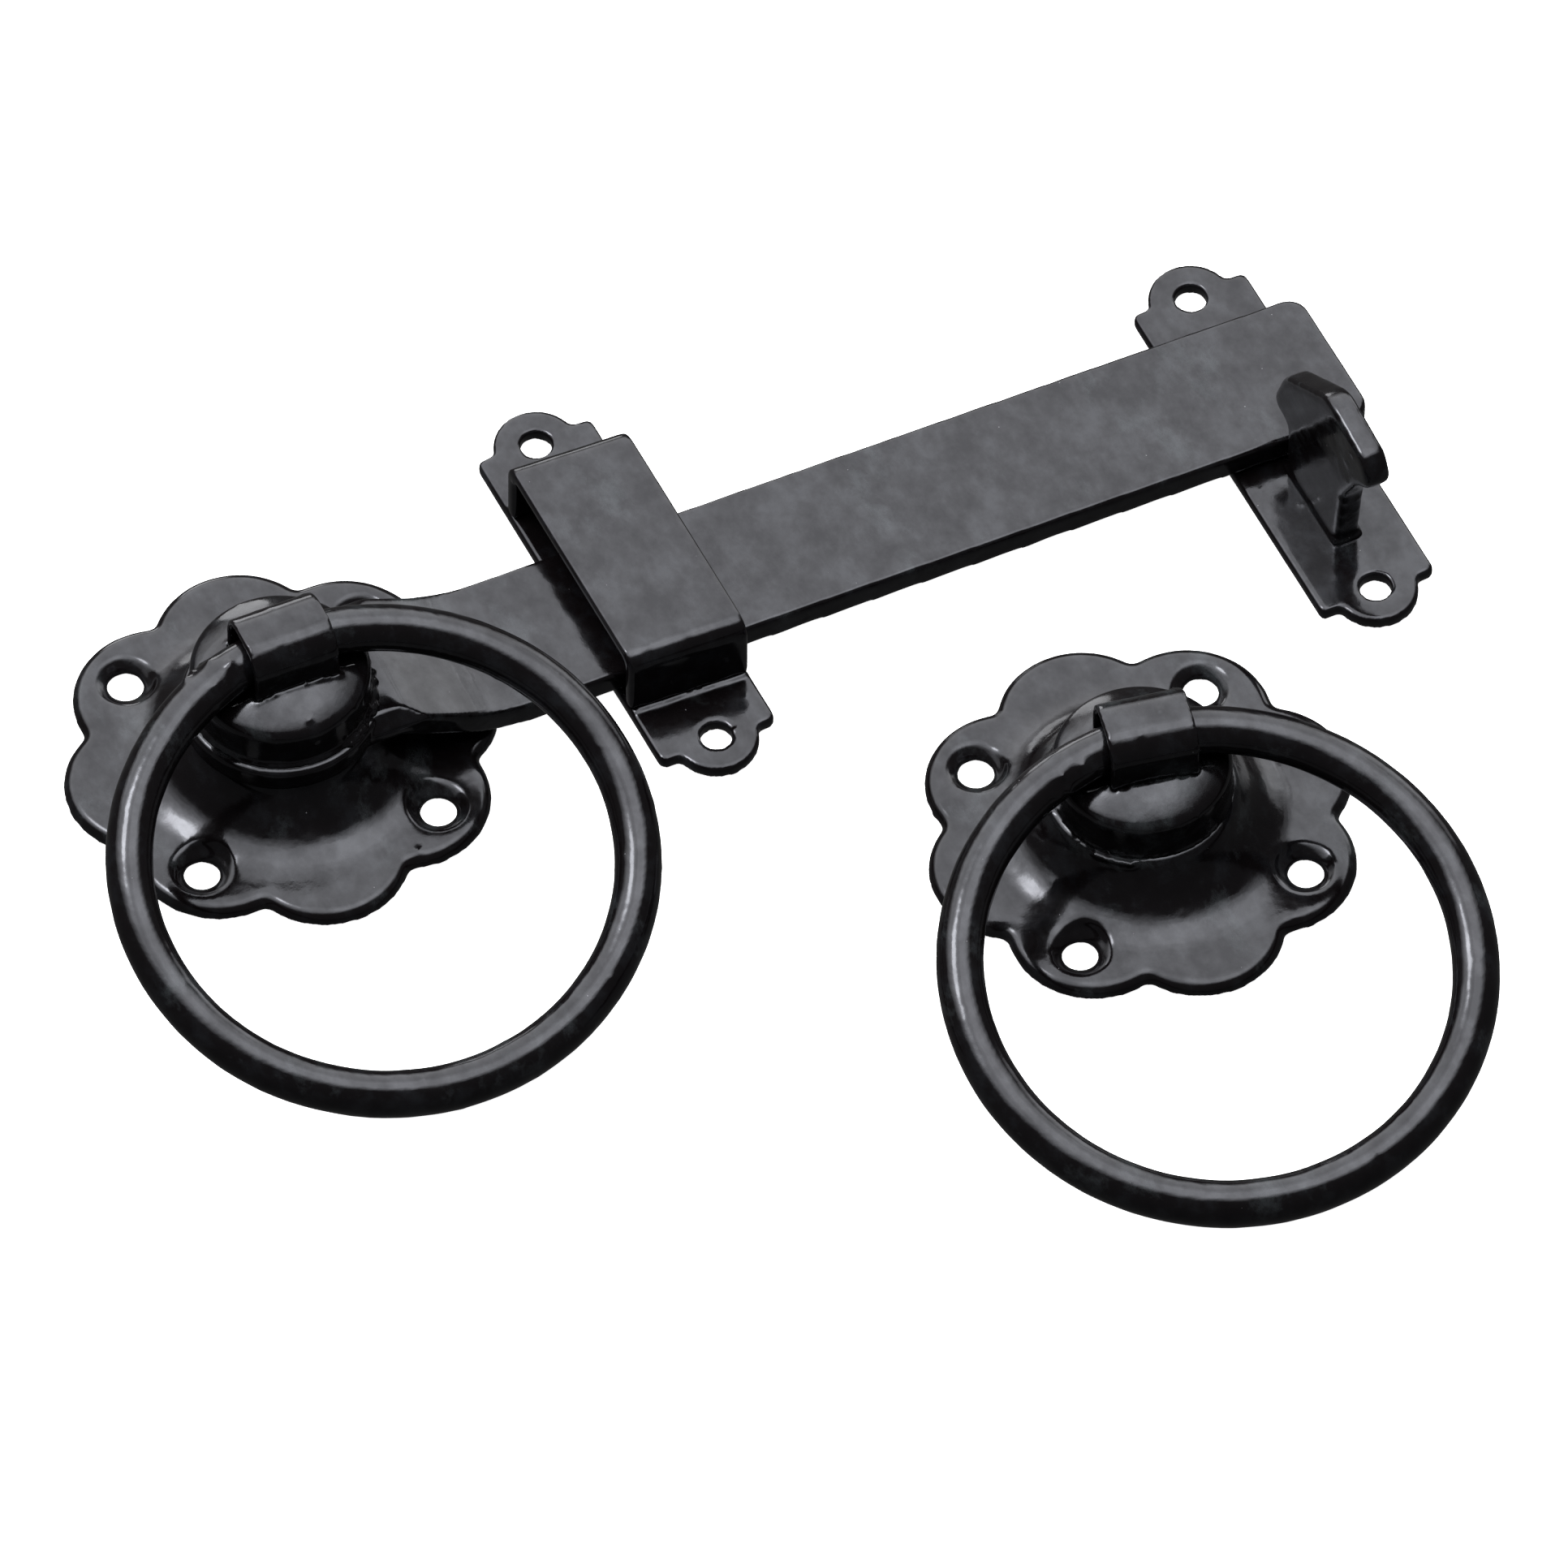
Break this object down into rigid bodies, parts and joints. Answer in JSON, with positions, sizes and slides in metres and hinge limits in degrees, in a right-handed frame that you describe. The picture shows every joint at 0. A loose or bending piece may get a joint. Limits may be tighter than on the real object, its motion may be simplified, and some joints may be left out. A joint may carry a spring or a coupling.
{
  "type": "stair gate latch",
  "caption": "Ring handle gate latch: long stepped latch bar on a turning handle, bridge guide, keep with an upright hook, and a second ring handle on its own scalloped rose.",
  "frame": {"origin": "where the first handle's spindle axis meets the plane that the roses, the guide and the keep are screwed to", "axes": "+Z points out of the gate's face, +X runs along the guide and the keep towards the latch bar's free end, +Y is up the gate: the rings hang towards -Y"},
  "size_m": [0.2462, 0.2135, 0.0372],
  "materials": {
    "black_paint": "gloss black dip paint over steel",
    "zinc_steel": "zinc-plated steel",
    "spring_steel": "oiled spring steel"
  },
  "bodies": {
    "fixed": {"rose_1": "black_paint", "rose_2": "black_paint", "guide_plate": "black_paint", "guide_bridge": "black_paint", "keep_plate": "black_paint", "keep_hook": "black_paint", "back_washer_1": "zinc_steel", "back_washer_2": "zinc_steel"},
    "latch": {"latch_bar": "black_paint", "handle_boss_1": "black_paint", "ring_strap_1": "black_paint", "spring_clip_1": "spring_steel"},
    "ring_1": {"ring_1": "black_paint"},
    "handle_2": {"handle_boss_2": "black_paint", "ring_strap_2": "black_paint", "spring_clip_2": "spring_steel"},
    "ring_2": {"ring_2": "black_paint"}
  },
  "joints": [
    {"name": "latch_lift", "type": "hinge", "parent": "fixed", "child": "latch", "pos_m": [0, 0, 0.0118], "axis": [0, 0, 1], "range_deg": [0, 8]},
    {"name": "ring_1_swing", "type": "hinge", "parent": "latch", "child": "ring_1", "pos_m": [-0.00003, -0.0006, 0.0302], "axis": [-1, -0.0051, 0], "range_deg": [0, 215]},
    {"name": "handle_2_turn", "type": "hinge", "parent": "fixed", "child": "handle_2", "pos_m": [0.1246, -0.0792, 0.0118], "axis": [0, 0, 1], "range_deg": [-8, 8]},
    {"name": "ring_2_swing", "type": "hinge", "parent": "handle_2", "child": "ring_2", "pos_m": [0.12448, -0.07979, 0.0255], "axis": [-0.9873, 0.159, 0], "range_deg": [0, 175]}
  ]
}
